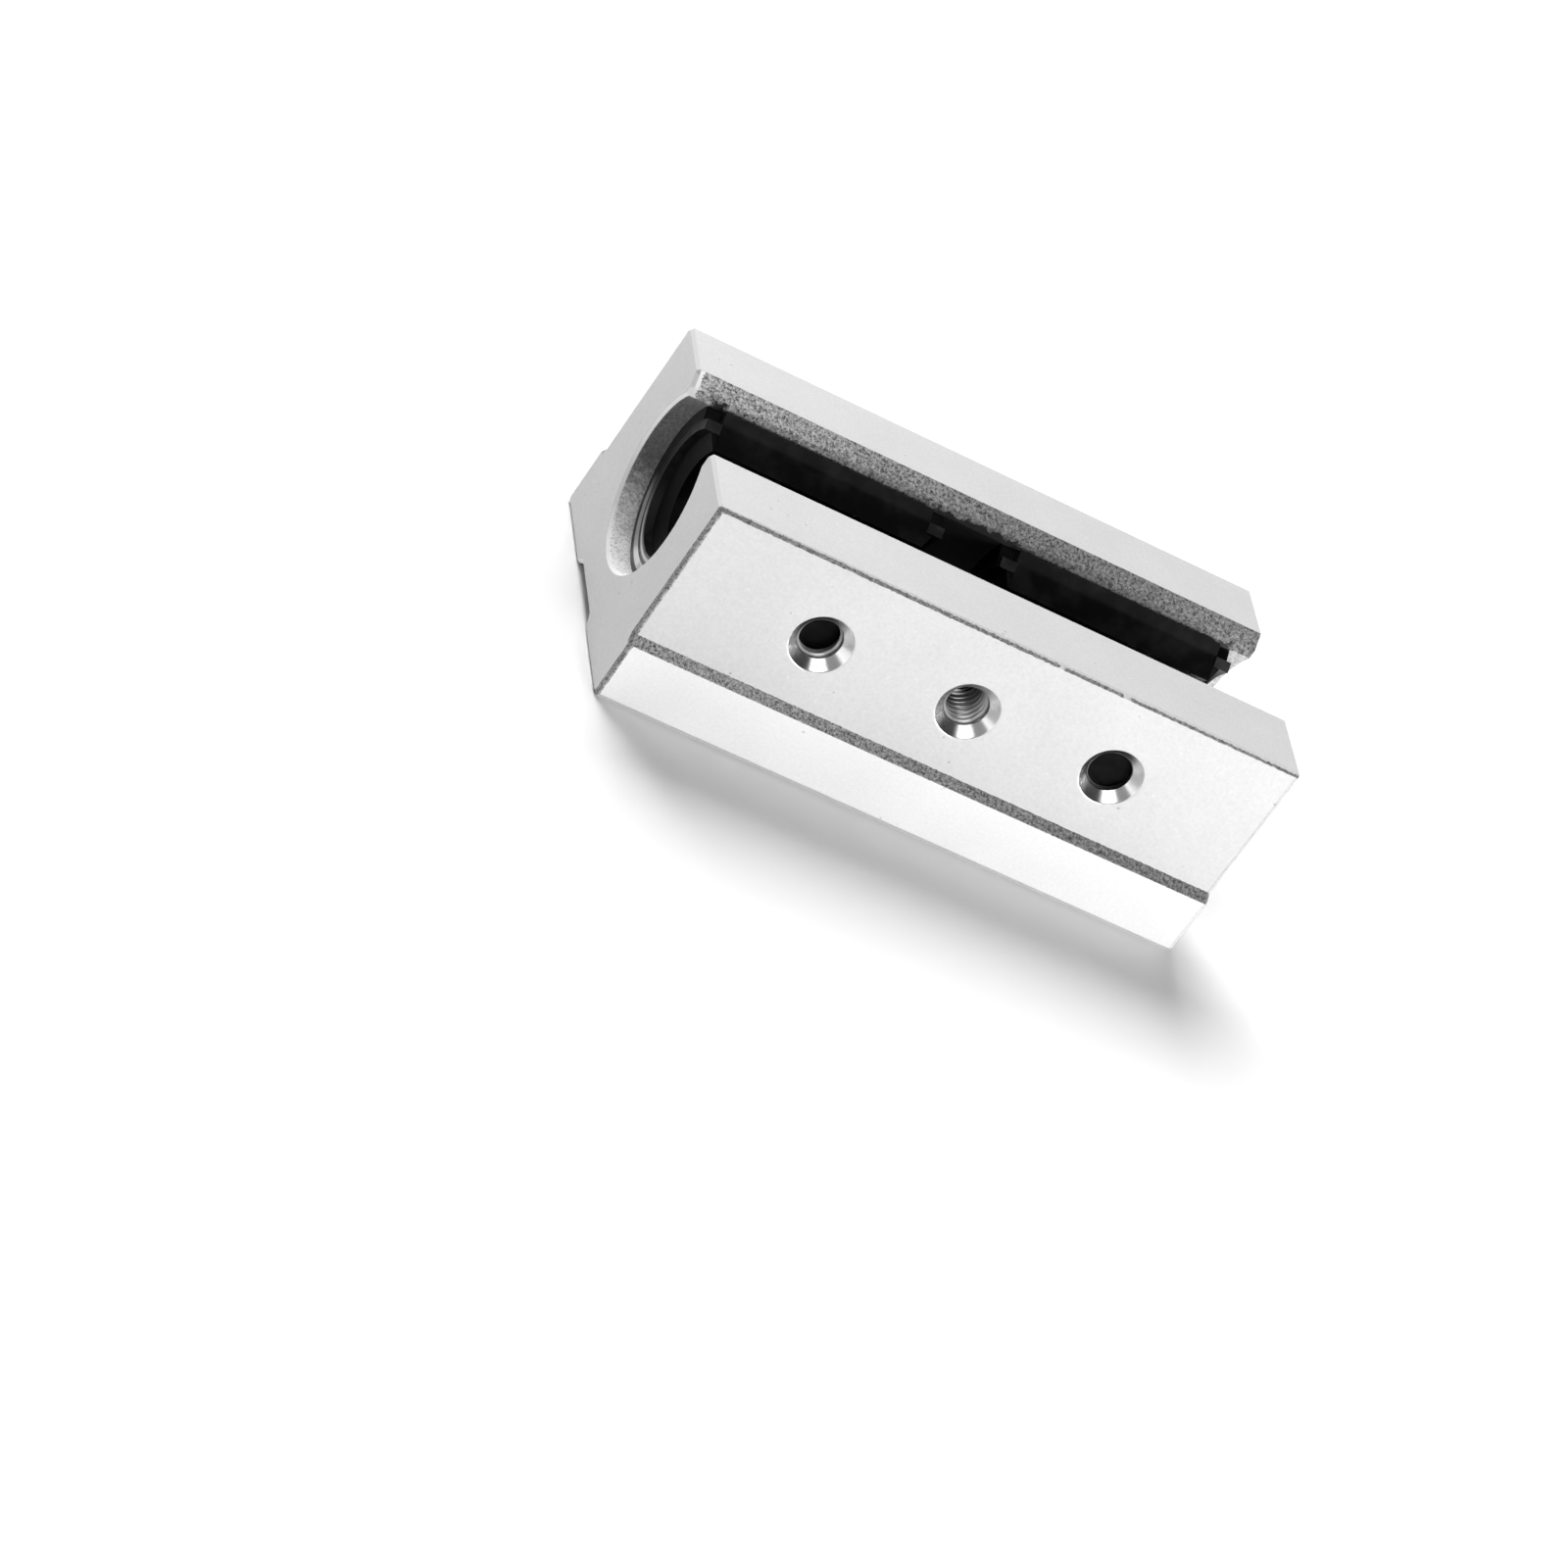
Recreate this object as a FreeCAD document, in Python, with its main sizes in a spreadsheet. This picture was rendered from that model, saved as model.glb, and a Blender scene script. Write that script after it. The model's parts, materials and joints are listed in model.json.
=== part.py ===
import FreeCAD, Part
import itertools
import math
import os
import Sketcher

# Long open slide block for a supported 12 mm shaft.
# X runs along the shaft, +Z points out of the slot, -Y is the side with three tapped holes.
# The origin is the centre of the mounting face, which lies on Z = 0.

doc = FreeCAD.newDocument("slide_block")
sheet = doc.addObject("Spreadsheet::Sheet", "Sizes")

sizes = [
    # shaft that the block slides on, and the clearances between pieces
    ("shaft_radius", 6.0),
    ("seat_gap", 0.02),
    ("ring_gap", 0.03),
    ("cage_gap", 0.08),
    ("thread_gap", 0.05),
    ("tip_gap", 0.02),
    ("wiper_gap", 0.02),
    # aluminium block
    ("block_length", 78.0),
    ("block_width", 40.0),
    ("block_height", 27.6),
    ("seat_radius", 11.0),
    ("slot_drop", 0.6),
    ("axis_height", "=block_height - seat_radius + slot_drop"),
    ("shoulder_height", 7.75),
    ("side_step", 1.0),
    ("edge_break", 0.5),
    ("end_break", 0.4),
    ("slot_near", 7.5),
    ("slot_far", 8.1),
    ("lip_near", 0.9),
    ("flare_width", 1.5),
    ("flare_depth", 1.7),
    ("relief_mouth", 13.5),
    ("relief_floor", 10.6),
    ("relief_depth", 1.0),
    # tapped holes
    ("side_hole_pitch", 19.5),
    ("side_hole_radius", 2.7),
    ("side_sink_depth", 1.2),
    ("mount_pitch_long", 50.0),
    ("mount_pitch_cross", 28.0),
    ("mount_hole_radius", 2.1),
    ("mount_hole_depth", 12.0),
    # set screws, sunk below the side face
    ("front_screw_sink", 3.0),
    ("rear_screw_sink", 2.0),
    ("socket_flats", 3.0),
    ("socket_depth", 2.6),
    ("screw_radius", "=side_hole_radius - thread_gap"),
    # balls and their tracks
    ("ball_radius", 1.389),
    ("ball_slack", 0.005),
    ("ball_play", 0.12),
    ("track_web", 1.1),
    ("track_spread", 95.0),
    ("window_play", 0.15),
    ("relief_play", 0.23),
    ("lift_play", 0.03),
    ("return_lift", 0.36),
    ("track_width", "=2 * ball_radius + ball_play"),
    ("track_turn", "=(track_width + track_web) / 2"),
    ("track_mean", "=shaft_radius + ball_radius + return_lift / 2"),
    # ball bearings
    ("bearing_length", 32.0),
    ("end_recess", 3.0),
    ("bearing_station", "=(block_length - bearing_length) / 2 - end_recess"),
    ("bearing_radius", "=seat_radius - seat_gap"),
    ("race_radius", "=shaft_radius + 2 * ball_radius"),
    ("sleeve_lip", 1.7),
    ("ring_width", 2.0),
    ("cage_end", 1.05),
    ("cage_clearance", 0.15),
    ("cage_floor", 0.18),
    ("cage_inner", "=shaft_radius + cage_clearance"),
    ("cage_outer", "=race_radius - cage_gap"),
    ("track_floor", "=cage_inner + cage_floor"),
    ("cage_half", "=bearing_length / 2 - ring_width"),
    ("track_half", "=cage_half - cage_end - track_turn - track_width / 2"),
    ("turn_reach", "=cage_half - cage_end"),
    ("ring_opening", 82.0),
    ("cage_setback", 1.0),
    ("seal_setback", 2.0),
    ("sleeve_setback", 8.0),
    ("rail_setback", 0.8),
    ("cage_opening", "=ring_opening + 2 * cage_setback"),
    ("seal_opening", "=ring_opening + 2 * seal_setback"),
    ("sleeve_opening", "=ring_opening + 2 * sleeve_setback"),
    ("rail_angle", "=sleeve_setback - cage_setback - rail_setback"),
    ("rail_middle", "=(cage_opening + rail_angle) / 2"),
    ("rail_radius", "=bearing_radius - cage_gap"),
    ("ring_seat_radius", "=bearing_radius - sleeve_lip"),
    ("ring_radius", "=ring_seat_radius - ring_gap"),
    ("seal_rise", 2.0),
    ("seal_width", 0.9),
    ("seal_seat_radius", "=shaft_radius + seal_rise"),
    ("seal_radius", "=seal_seat_radius - ring_gap"),
    ("seal_inner", "=shaft_radius + wiper_gap"),
]
for row, (name, value) in enumerate(sizes, start=1):
    sheet.set("A%d" % row, name)
    sheet.set("B%d" % row, str(value))
    sheet.setAlias("B%d" % row, name)
doc.recompute()


def size(name):
    return float(getattr(sheet, name))


def bind(thing, field, words):
    thing.setExpression(field, words)


def newBody(label):
    body = doc.addObject("PartDesign::Body", label)
    body.Label = label
    return body


def plane(body, role):
    return next(item for item in body.Origin.OriginFeatures if item.Role == role)


def newSketch(body, name, role):
    sketch = body.newObject("Sketcher::SketchObject", body.Name + "_" + name)
    sketch.AttachmentSupport = [(plane(body, role), "")]
    sketch.MapMode = "FlatFace"
    return sketch


def place(sketch, geometry, position, words):
    """Ties one point of a sketch to the sizes, in both directions."""
    for axis, kind, text in ((-2, "DistanceX", words[0]), (-1, "DistanceY", words[1])):
        value = float(sketch.evalExpression(text))
        if abs(value) < 1e-9:
            sketch.addConstraint(Sketcher.Constraint("PointOnObject", geometry, position, axis))
        elif value > 0:
            made = sketch.addConstraint(Sketcher.Constraint(kind, -1, 1, geometry, position, value))
            bind(sketch, "Constraints[%d]" % made, text)
        else:
            made = sketch.addConstraint(Sketcher.Constraint(kind, geometry, position, -1, 1, -value))
            bind(sketch, "Constraints[%d]" % made, "-(%s)" % text)


def outline(sketch, corners):
    """Draws a closed polygon whose corners are pairs of expressions."""
    points = []
    for across, up in corners:
        points.append(FreeCAD.Vector(
            float(sketch.evalExpression(across)), float(sketch.evalExpression(up)), 0))
    first = sketch.GeometryCount
    count = len(points)
    for index in range(count):
        sketch.addGeometry(Part.LineSegment(points[index], points[(index + 1) % count]), False)
    for index in range(count):
        after = first + (index + 1) % count
        sketch.addConstraint(Sketcher.Constraint("Coincident", first + index, 2, after, 1))
    for index in range(count):
        place(sketch, first + index, 1, corners[index])


def disc(sketch, across, up, radius):
    centre = FreeCAD.Vector(
        float(sketch.evalExpression(across)), float(sketch.evalExpression(up)), 0)
    wide = float(sketch.evalExpression(radius))
    made = sketch.addGeometry(Part.Circle(centre, FreeCAD.Vector(0, 0, 1), wide), False)
    place(sketch, made, 3, (across, up))
    rule = sketch.addConstraint(Sketcher.Constraint("Radius", made, wide))
    bind(sketch, "Constraints[%d]" % rule, radius)


def pad(body, sketch, name, length):
    feature = body.newObject("PartDesign::Pad", body.Name + "_" + name)
    feature.Profile = sketch
    feature.SideType = "Symmetric"
    bind(feature, "Length", length)
    return feature


def pocketThrough(body, sketch, name):
    feature = body.newObject("PartDesign::Pocket", body.Name + "_" + name)
    feature.Profile = sketch
    feature.SideType = "Symmetric"
    feature.Type = "ThroughAll"
    return feature


def turned(body, sketch, name, kind, axis, angle):
    feature = body.newObject("PartDesign::" + kind, body.Name + "_" + name)
    feature.Profile = sketch
    feature.ReferenceAxis = axis
    feature.Midplane = True
    bind(feature, "Angle", angle)
    return feature


def edgesWhere(feature, wanted):
    """Names the edges whose middle passes the test."""
    return ["Edge%d" % number for number, edge in enumerate(feature.Shape.Edges, start=1)
            if wanted(edge.CenterOfMass)]


def makeBlock():
    body = newBody("housing_block")

    section = newSketch(body, "section", "YZ_Plane")
    half = "Sizes.block_width / 2"
    upper = half + " - Sizes.side_step"
    cut = "Sizes.edge_break"
    top = "Sizes.block_height"
    slope = "Sizes.shoulder_height + Sizes.side_step"
    right = [
        ("Sizes.relief_floor / 2", "Sizes.relief_depth"),
        ("Sizes.relief_mouth / 2", "0"),
        (half + " - " + cut, "0"),
        (half, cut),
        (half, "Sizes.shoulder_height"),
        (upper, slope),
        (upper, top + " - " + cut),
        (upper + " - " + cut, top),
    ]
    left = [("-(%s)" % across, up) for across, up in reversed(right)]
    outline(section, right + left)
    pad(body, section, "bar", "Sizes.block_length")

    seat = newSketch(body, "seat_circle", "YZ_Plane")
    disc(seat, "0", "Sizes.axis_height", "Sizes.seat_radius")
    pocketThrough(body, seat, "seat")

    mouth = newSketch(body, "slot_section", "YZ_Plane")
    above = top + " + Sizes.flare_depth"
    outline(mouth, [
        ("-Sizes.slot_near", "Sizes.axis_height"),
        ("Sizes.slot_far", "Sizes.axis_height"),
        ("Sizes.slot_far", top + " - Sizes.flare_depth"),
        ("Sizes.slot_far + Sizes.flare_width", top),
        ("Sizes.slot_far + Sizes.flare_width", above),
        ("-Sizes.slot_near", above),
    ])
    slot = pocketThrough(body, mouth, "slot")
    doc.recompute()

    # the near lip's long edge is rounded
    lip = FreeCAD.Vector(0, -size("slot_near"), size("block_height"))
    rounded = body.newObject("PartDesign::Fillet", body.Name + "_lip_round")
    rounded.Base = (slot, edgesWhere(slot, lambda middle: (middle - lip).Length < 1e-6))
    bind(rounded, "Radius", "Sizes.lip_near")
    doc.recompute()

    # both ends: a small chamfer on every edge of the end face
    reach = size("block_length") / 2
    broken = body.newObject("PartDesign::Chamfer", body.Name + "_end_breaks")
    broken.Base = (rounded, edgesWhere(rounded, lambda middle: abs(abs(middle.x) - reach) < 1e-6))
    bind(broken, "Size", "Sizes.end_break")

    # three countersunk tapped holes through the -Y wall, on the shaft's level
    side = newSketch(body, "side_hole_section", "XY_Plane")
    bind(side, "AttachmentOffset.Base.z", "Sizes.axis_height")
    face = "Sizes.side_step - Sizes.block_width / 2"
    bore = "Sizes.side_hole_radius"
    sink = bore + " + Sizes.side_sink_depth"
    hole = [
        ("0", "0"),
        (bore, "0"),
        (bore, face + " + Sizes.side_sink_depth"),
        (sink, face),
        (sink, face + " - Sizes.side_sink_depth"),
        ("0", face + " - Sizes.side_sink_depth"),
    ]
    outline(side, hole)
    middle = turned(body, side, "middle_hole", "Groove", (side, ["V_Axis"]), "360")
    shifted = []
    for name, sign in (("front_hole", "-"), ("rear_hole", "")):
        copy = newSketch(body, name + "_section", "XY_Plane")
        bind(copy, "AttachmentOffset.Base.x", sign + "Sizes.side_hole_pitch")
        bind(copy, "AttachmentOffset.Base.z", "Sizes.axis_height")
        outline(copy, hole)
        shifted.append(turned(body, copy, name, "Groove", (copy, ["V_Axis"]), "360"))

    # four tapped mounting holes with drilled points
    drill = newSketch(body, "mount_hole_section", "XZ_Plane")
    bind(drill, "AttachmentOffset.Base.x", "Sizes.mount_pitch_long / 2")
    bind(drill, "AttachmentOffset.Base.z", "Sizes.mount_pitch_cross / 2")
    wide = "Sizes.mount_hole_radius"
    deep = "Sizes.mount_hole_depth"
    outline(drill, [
        ("0", "-" + wide),
        (wide, "-" + wide),
        (wide, deep),
        ("0", deep + " + " + wide + " / tan(59)"),
    ])
    corner = turned(body, drill, "mount_hole", "Groove", (drill, ["V_Axis"]), "360")
    four = body.newObject("PartDesign::MultiTransform", body.Name + "_mount_holes")
    four.Originals = [corner]
    flips = []
    for role in ("XZ_Plane", "YZ_Plane"):
        flip = body.newObject("PartDesign::Mirrored", body.Name + "_flip_" + role[:2])
        flip.MirrorPlane = (plane(body, role), [""])
        flips.append(flip)
    four.Transformations = flips
    body.Tip = four
    return body


def makeScrew(label, station, sink):
    body = newBody(label)
    section = newSketch(body, "section", "XY_Plane")
    wide = "Sizes.screw_radius"
    length = "(Sizes.block_width / 2 - Sizes.side_step - Sizes.%s - Sizes.bearing_radius - Sizes.tip_gap)" % sink
    outline(section, [
        ("0", "0"),
        (wide, "0"),
        (wide, length),
        ("0", length),
    ])
    turned(body, section, "shank", "Revolution", (section, ["V_Axis"]), "360")

    # hexagon socket, cut from the outer end
    socket = newSketch(body, "socket_hexagon", "XZ_Plane")
    bind(socket, "AttachmentOffset.Base.z", "-" + length)
    corners = []
    for step in range(6):
        turn = math.radians(60 * step)
        reach = "Sizes.socket_flats / 2 / cos(30)"
        corners.append((
            "%.9f * %s" % (math.cos(turn), reach),
            "%.9f * %s" % (math.sin(turn), reach)))
    outline(socket, corners)
    drive = body.newObject("PartDesign::Pocket", body.Name + "_socket")
    drive.Profile = socket
    bind(drive, "Length", "Sizes.socket_depth")

    # the flat end points to +Y, just clear of the bearing's sleeve
    body.Placement = FreeCAD.Placement(
        FreeCAD.Vector(0, 0, 0), FreeCAD.Rotation(FreeCAD.Vector(0, 0, 1), 180))
    bind(body, "Placement.Base.x", station)
    bind(body, "Placement.Base.y", "-(Sizes.bearing_radius + Sizes.tip_gap)")
    bind(body, "Placement.Base.z", "Sizes.axis_height")
    return body


def seatOnShaft(body, station):
    bind(body, "Placement.Base.x", station)
    bind(body, "Placement.Base.z", "Sizes.axis_height")


def halfTurn():
    """Angle from a circuit's middle to the middle of either of its rows, in degrees."""
    return math.degrees(size("track_turn") / size("track_mean"))


def channel(body, name, angle, start, stop, width, floor, top):
    """Cuts a straight channel along the shaft between two heights above the shaft's axis."""
    box = body.newObject("PartDesign::SubtractiveBox", "%s_%s" % (body.Name, name))
    bind(box, "Length", "%s - %s" % (stop, start))
    bind(box, "Width", width)
    bind(box, "Height", "%s - %s" % (top, floor))
    turn = math.radians(angle)
    bind(box, "Placement.Base.x", start)
    bind(box, "Placement.Base.y", "%.9f * %s + %.9f * %s / 2" % (
        math.sin(turn), floor, math.cos(turn), width))
    bind(box, "Placement.Base.z", "%.9f * %s + %.9f * %s / 2" % (
        -math.cos(turn), floor, math.sin(turn), width))
    box.Placement.Rotation = FreeCAD.Rotation(FreeCAD.Vector(1, 0, 0), 180 + angle)


def makeSleeve(label, station):
    body = newBody(label)
    section = newSketch(body, "section", "XZ_Plane")
    end = "Sizes.bearing_length / 2"
    right = [
        ("Sizes.cage_half", "-Sizes.race_radius"),
        ("Sizes.cage_half", "-Sizes.ring_seat_radius"),
        (end, "-Sizes.ring_seat_radius"),
        (end, "-Sizes.bearing_radius"),
    ]
    left = [("-(%s)" % along, up) for along, up in reversed(right)]
    outline(section, right + left)
    turned(body, section, "shell", "Revolution", (plane(body, "X_Axis"), [""]),
           "360 - Sizes.sleeve_opening")

    # shallow reliefs that unload the returning balls and their turns
    inner = "(Sizes.race_radius - Sizes.return_lift)"
    outer = "(Sizes.race_radius + Sizes.return_lift + Sizes.lift_play)"
    rowWidth = "(2 * sqrt(Sizes.ball_radius^2 - (Sizes.ball_radius - Sizes.return_lift)^2) + Sizes.relief_play)"
    rowInner = "(Sizes.race_radius * 2 - %s)" % outer
    turnWidth = "(2 * Sizes.track_turn * Sizes.race_radius / Sizes.track_mean + %s)" % rowWidth
    turnInner = "(Sizes.race_radius * 2 - %s - Sizes.ball_radius)" % outer
    for number in (-1, 0, 1):
        centre = number * size("track_spread")
        channel(body, "relief_%d" % (number + 2), centre + halfTurn(),
                "-Sizes.cage_half", "Sizes.cage_half", rowWidth, rowInner, outer)
        channel(body, "front_turn_%d" % (number + 2), centre,
                "-Sizes.cage_half", "-Sizes.track_half", turnWidth, turnInner, outer)
        channel(body, "rear_turn_%d" % (number + 2), centre,
                "Sizes.track_half", "Sizes.cage_half", turnWidth, turnInner, outer)
    seatOnShaft(body, station)
    return body


def makeCage(label, station):
    body = newBody(label)
    section = newSketch(body, "section", "XZ_Plane")
    outline(section, [
        ("-Sizes.cage_half", "-Sizes.cage_inner"),
        ("Sizes.cage_half", "-Sizes.cage_inner"),
        ("Sizes.cage_half", "-Sizes.cage_outer"),
        ("-Sizes.cage_half", "-Sizes.cage_outer"),
    ])
    turned(body, section, "shell", "Revolution", (plane(body, "X_Axis"), [""]),
           "360 - Sizes.cage_opening")

    # edge rails that fill the slot between the sleeve's edges
    foot = "(Sizes.cage_inner + Sizes.cage_outer) / 2"
    for name, side in (("left", -1), ("right", 1)):
        edge = newSketch(body, name + "_rail_section", "XZ_Plane")
        edge.AttachmentOffset = FreeCAD.Placement(
            FreeCAD.Vector(0, 0, 0),
            FreeCAD.Rotation(FreeCAD.Vector(1, 0, 0), side * (180 - size("rail_middle"))))
        outline(edge, [
            ("-Sizes.cage_half", "-" + foot),
            ("Sizes.cage_half", "-" + foot),
            ("Sizes.cage_half", "-Sizes.rail_radius"),
            ("-Sizes.cage_half", "-Sizes.rail_radius"),
        ])
        turned(body, edge, name + "_rail", "Revolution", (plane(body, "X_Axis"), [""]),
               "Sizes.rail_angle")

    # each circuit is a loaded and a return track, joined by a trench at each end
    window = ("(2 * sqrt(Sizes.ball_radius^2 - (Sizes.shaft_radius + Sizes.ball_radius"
              " - Sizes.track_floor)^2) + Sizes.window_play)")
    outer = "Sizes.rail_radius"
    for number in (-1, 0, 1):
        centre = number * size("track_spread")
        for name, side in (("loaded", -1), ("return", 1)):
            channel(body, "%s_%d" % (name, number + 2), centre + side * halfTurn(),
                    "-Sizes.turn_reach", "Sizes.turn_reach",
                    "Sizes.track_width", "Sizes.track_floor", outer)
        channel(body, "window_%d" % (number + 2), centre - halfTurn(),
                "-(Sizes.track_half + Sizes.track_turn)", "(Sizes.track_half + Sizes.track_turn)",
                window, "(Sizes.shaft_radius - Sizes.ball_radius)", outer)
        for name, sign in (("front", "-"), ("rear", "")):
            turn = newSketch(body, "%s_turn_%d" % (name, number + 2), "XZ_Plane")
            turn.AttachmentOffset = FreeCAD.Placement(
                FreeCAD.Vector(0, 0, 0), FreeCAD.Rotation(FreeCAD.Vector(1, 0, 0), centre))
            outline(turn, [
                (sign + "Sizes.track_half", "-Sizes.track_floor"),
                (sign + "Sizes.turn_reach", "-Sizes.track_floor"),
                (sign + "Sizes.turn_reach", "-" + outer),
                (sign + "Sizes.track_half", "-" + outer),
            ])
            turned(body, turn, "%s_trench_%d" % (name, number + 2), "Groove",
                   (plane(body, "X_Axis"), [""]), "%.9f" % (2 * halfTurn()))
    seatOnShaft(body, station)
    return body


def facetedBall(radius):
    """A ball with 20 flat faces whose corners lie on the sphere."""
    long = (1 + math.sqrt(5)) / 2
    corners = []
    for one in (-1, 1):
        for two in (-long, long):
            for spot in ((0, one, two), (one, two, 0), (two, 0, one)):
                corners.append(FreeCAD.Vector(*spot))
    faces = []
    for a, b, c in itertools.combinations(corners, 3):
        if max((a - b).Length, (b - c).Length, (c - a).Length) < long + 1:
            rim = [corner * (radius / a.Length) for corner in (a, b, c, a)]
            faces.append(Part.Face(Part.makePolygon(rim)))
    return Part.Solid(Part.Shell(faces))


def trackPoint(travel):
    """Position along the shaft, distance across and lift of a ball on its closed track."""
    straight = 2 * size("track_half")
    turn = size("track_turn")
    bend = math.pi * turn
    lift = size("return_lift")
    if travel < straight:
        return travel - straight / 2, -turn, 0.0
    travel -= straight
    if travel < bend:
        angle = travel / turn
        rise = min(1.0, max(0.0, angle - math.pi / 12) / (math.pi / 6))
        return straight / 2 + turn * math.sin(angle), -turn * math.cos(angle), lift * rise
    travel -= bend
    if travel < straight:
        return straight / 2 - travel, turn, lift
    angle = (travel - straight) / turn
    rise = min(1.0, max(0.0, math.pi * 11 / 12 - angle) / (math.pi / 6))
    return -straight / 2 - turn * math.sin(angle), turn * math.cos(angle), lift * rise


def makeBalls(label, station, number):
    """One closed circuit of balls, centred under the shaft or spread to one side of it."""
    ball = facetedBall(size("ball_radius") - size("ball_slack"))
    turn = size("track_turn")
    loop = 4 * size("track_half") + 2 * math.pi * turn
    count = int(loop / (2 * turn * math.asin(size("ball_radius") / turn)))
    balls = []
    for index in range(count):
        along, across, lift = trackPoint(loop * (index + 0.5) / count)
        angle = number * size("track_spread") + math.degrees(across / size("track_mean"))
        radius = size("race_radius") - size("ball_radius") + lift
        swing = FreeCAD.Rotation(FreeCAD.Vector(1, 0, 0), angle)
        one = ball.copy()
        one.Placement = FreeCAD.Placement(swing.multVec(FreeCAD.Vector(along, 0, -radius)), swing)
        balls.append(one)
    circuit = doc.addObject("Part::Feature", label)
    circuit.Label = label
    circuit.Shape = Part.makeCompound(balls)
    seatOnShaft(circuit, station)
    return circuit


def makeRing(label, station, way):
    """End ring, pressed into the sleeve's end."""
    body = newBody(label)
    section = newSketch(body, "section", "XZ_Plane")
    end = way + "Sizes.bearing_length / 2"
    outline(section, [
        (way + "Sizes.cage_half", "-Sizes.seal_seat_radius"),
        (way + "Sizes.cage_half", "-Sizes.ring_radius"),
        (end, "-Sizes.ring_radius"),
        (end, "-Sizes.seal_seat_radius"),
    ])
    turned(body, section, "ring", "Revolution", (plane(body, "X_Axis"), [""]),
           "360 - Sizes.ring_opening")
    seatOnShaft(body, station)
    return body


def makeSeal(label, station, way):
    """Wiper whose lip tapers towards the shaft, held in the end ring against the cage."""
    body = newBody(label)
    section = newSketch(body, "section", "XZ_Plane")
    back = way + "Sizes.cage_half"
    outline(section, [
        (back, "-Sizes.seal_inner"),
        (back, "-Sizes.seal_radius"),
        (way + "(Sizes.cage_half + Sizes.seal_width)", "-Sizes.seal_radius"),
    ])
    turned(body, section, "lip", "Revolution", (plane(body, "X_Axis"), [""]),
           "360 - Sizes.seal_opening")
    seatOnShaft(body, station)
    return body


subParts = [makeBlock()]
subParts.append(makeScrew("front_set_screw", "-Sizes.side_hole_pitch", "front_screw_sink"))
subParts.append(makeScrew("rear_set_screw", "Sizes.side_hole_pitch", "rear_screw_sink"))
for end, sign in (("front", "-"), ("rear", "")):
    station = sign + "Sizes.bearing_station"
    away = "-" if end == "front" else ""
    back = "" if end == "front" else "-"
    subParts.append(makeSleeve(end + "_sleeve", station))
    subParts.append(makeCage(end + "_ball_cage", station))
    subParts.append(makeRing(end + "_outer_ring", station, away))
    subParts.append(makeRing(end + "_inner_ring", station, back))
    subParts.append(makeSeal(end + "_outer_seal", station, away))
    subParts.append(makeSeal(end + "_inner_seal", station, back))
    for number, side in ((-1, "left"), (0, "lower"), (1, "right")):
        subParts.append(makeBalls("%s_%s_balls" % (end, side), station, number))

doc.recompute()
for item in doc.Objects:
    if "Invalid" in item.State or "Error" in item.State:
        raise RuntimeError("%s is %s" % (item.Name, item.State))
for item in subParts:
    if item.Shape.isNull() or not item.Shape.isValid():
        raise RuntimeError("%s has no valid shape" % item.Label)

os.makedirs("parts", exist_ok=True)
for item in subParts:
    item.Shape.exportStep("parts/%s.step" % item.Label)
    print(item.Label, len(item.Shape.Solids), round(item.Shape.Volume, 1))
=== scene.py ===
import bpy
import json
import math
import numpy as np
from mathutils import Matrix, Vector


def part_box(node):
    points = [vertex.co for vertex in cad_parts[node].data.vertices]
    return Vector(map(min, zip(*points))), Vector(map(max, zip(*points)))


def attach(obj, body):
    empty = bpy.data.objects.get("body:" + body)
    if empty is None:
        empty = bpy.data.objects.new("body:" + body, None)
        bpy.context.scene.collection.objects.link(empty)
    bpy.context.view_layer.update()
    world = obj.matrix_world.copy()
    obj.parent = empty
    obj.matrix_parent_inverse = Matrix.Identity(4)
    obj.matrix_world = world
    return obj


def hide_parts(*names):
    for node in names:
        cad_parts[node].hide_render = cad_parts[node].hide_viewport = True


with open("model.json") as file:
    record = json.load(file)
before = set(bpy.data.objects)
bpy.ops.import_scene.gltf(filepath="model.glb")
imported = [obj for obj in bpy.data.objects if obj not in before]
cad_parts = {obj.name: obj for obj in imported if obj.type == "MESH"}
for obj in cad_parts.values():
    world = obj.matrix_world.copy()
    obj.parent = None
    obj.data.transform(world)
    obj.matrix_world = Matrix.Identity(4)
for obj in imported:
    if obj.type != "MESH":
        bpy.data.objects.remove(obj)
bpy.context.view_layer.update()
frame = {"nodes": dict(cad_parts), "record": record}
nodes = frame["nodes"]
print("frame loaded:", len(nodes), "nodes")

mm = 0.001  # every length below is in millimetres until it reaches a mesh


def newGroup(name, inputs, outputs):
    # an empty shader group with its sockets and its two end nodes; every output is a number
    tree = bpy.data.node_groups.new(name, "ShaderNodeTree")
    for label, kind, value in inputs:
        made = tree.interface.new_socket(label, in_out="INPUT", socket_type="NodeSocket" + kind)
        if value is not None:
            made.default_value = value
    for label in outputs:
        tree.interface.new_socket(label, in_out="OUTPUT", socket_type="NodeSocketFloat")
    return tree, tree.nodes.new("NodeGroupInput"), tree.nodes.new("NodeGroupOutput")


def feed(tree, socket, value):
    # a value may be another node's output or a plain number or colour
    if isinstance(value, bpy.types.NodeSocket):
        tree.links.new(value, socket)
    else:
        socket.default_value = value


def feedAll(tree, end, values):
    for label, value in values.items():
        feed(tree, end.inputs[label], value)


def calc(tree, operation, *values, clamp=False):
    step = tree.nodes.new("ShaderNodeMath")
    step.operation = operation
    step.use_clamp = clamp
    for place, value in enumerate(values):
        feed(tree, step.inputs[place], value)
    return step.outputs[0]


def product(tree, *masks):
    result = masks[0]
    for mask in masks[1:]:
        result = calc(tree, "MULTIPLY", result, mask)
    return result


def raised(tree, base, mask, amount):
    # the base value plus an amount wherever the mask is set
    return calc(tree, "ADD", base, calc(tree, "MULTIPLY", mask, amount))


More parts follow.
